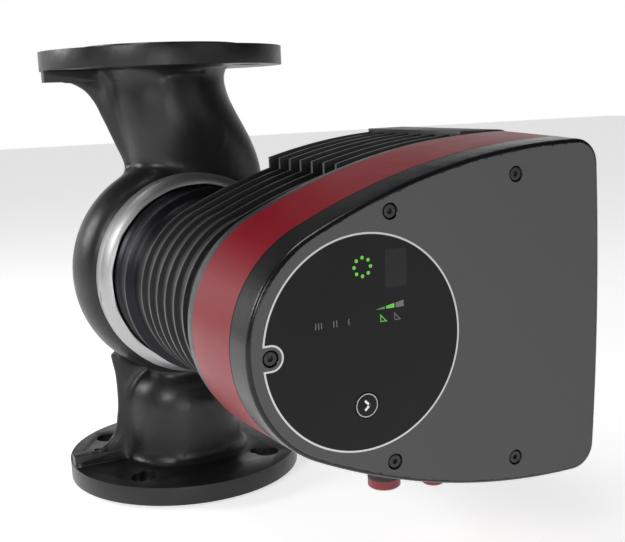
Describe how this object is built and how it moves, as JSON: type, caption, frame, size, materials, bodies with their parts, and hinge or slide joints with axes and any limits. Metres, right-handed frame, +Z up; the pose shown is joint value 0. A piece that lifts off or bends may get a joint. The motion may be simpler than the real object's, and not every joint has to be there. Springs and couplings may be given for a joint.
{
  "type": "circulator pump",
  "caption": "Wet-rotor in-line circulator pump with flanged pipe ports, finned motor, clamp ring and a control box with a round display.",
  "frame": {"origin": "centre of the inlet flange's sealing face", "axes": "+Z up the pipe axis from inlet to outlet, control panel facing -Y, wide side of the control box towards +X"},
  "size_m": [0.255, 0.4048, 0.34],
  "materials": {
    "cast_black": "black electrocoat over fine sand-cast iron, satin",
    "stainless": "turned stainless steel",
    "seal_rubber": "matt black rubber",
    "clamp_steel": "satin stainless steel",
    "screw_black": "black oxide",
    "bearing_carbon": "dense dark ceramic",
    "motor_black": "black anodised die casting with bright fin edges",
    "laminations": "stacked electrical steel",
    "copper_wire": "enamelled copper",
    "magnet": "sintered magnet",
    "red_band": "deep red moulded plastic, satin",
    "cover_grey": "charcoal fine-textured moulding",
    "display_black": "smoked black display window",
    "trim_silver": "bright silver line",
    "button_black": "black push button",
    "component_black": "moulded component body",
    "board_green": "green solder mask",
    "light_guide": "clear light guide",
    "entry_black": "black polyamide",
    "cap_red": "red plastic cap"
  },
  "bodies": {
    "housing": {"pump_housing": "cast_black", "wear_ring": "stainless", "housing_seal": "seal_rubber", "clamp_ring": "clamp_steel", "clamp_screw": "screw_black", "clamp_nut": "clamp_steel"},
    "head": {"bearing_plate": "stainless", "blanking_plug": "cap_red", "board_posts": "component_black", "button_switch": "component_black", "cable_gland": "entry_black", "can_seal": "seal_rubber", "capacitors": "component_black", "cover_gasket": "seal_rubber", "cover_screws": "screw_black", "display_board": "board_green", "display_panel": "display_black", "display_trim": "trim_silver", "filter_choke": "copper_wire", "front_bearing": "bearing_carbon", "front_cover": "cover_grey", "gland_cap": "cap_red", "gland_nut": "entry_black", "heat_sink": "motor_black", "light_guides": "light_guide", "power_board": "board_green", "power_module": "component_black", "rear_bearing": "bearing_carbon", "red_band": "red_band", "ribbon_connector": "component_black", "rotor_can": "stainless", "sink_screws": "screw_black", "standoffs": "clamp_steel", "stator_core": "laminations", "stator_housing": "motor_black", "stator_windings": "copper_wire", "terminal_block": "component_black", "terminal_screws": "clamp_steel", "winding_connector": "component_black"},
    "rotor": {"shaft": "stainless", "impeller": "stainless", "impeller_nut": "stainless", "rotor_core": "laminations", "rotor_magnets": "magnet", "rotor_sleeve": "stainless", "thrust_ring": "bearing_carbon", "thrust_carrier": "seal_rubber"},
    "button": {"operating_button": "button_black"}
  },
  "joints": [
    {"name": "head_turn", "type": "hinge", "parent": "housing", "child": "head", "pos_m": [0, 0, 0.17], "axis": [0, -1, 0], "range_deg": [-180, 180]},
    {"name": "rotor_spin", "type": "hinge", "parent": "head", "child": "rotor", "pos_m": [0, -0.1, 0.17], "axis": [0, -1, 0], "continuous": true},
    {"name": "button_press", "type": "slide", "parent": "head", "child": "button", "axis": [0, 1, 0], "range_m": [0, 0.0008], "stiffness_N_per_m": 1500, "springref_m": -0.0005}
  ]
}
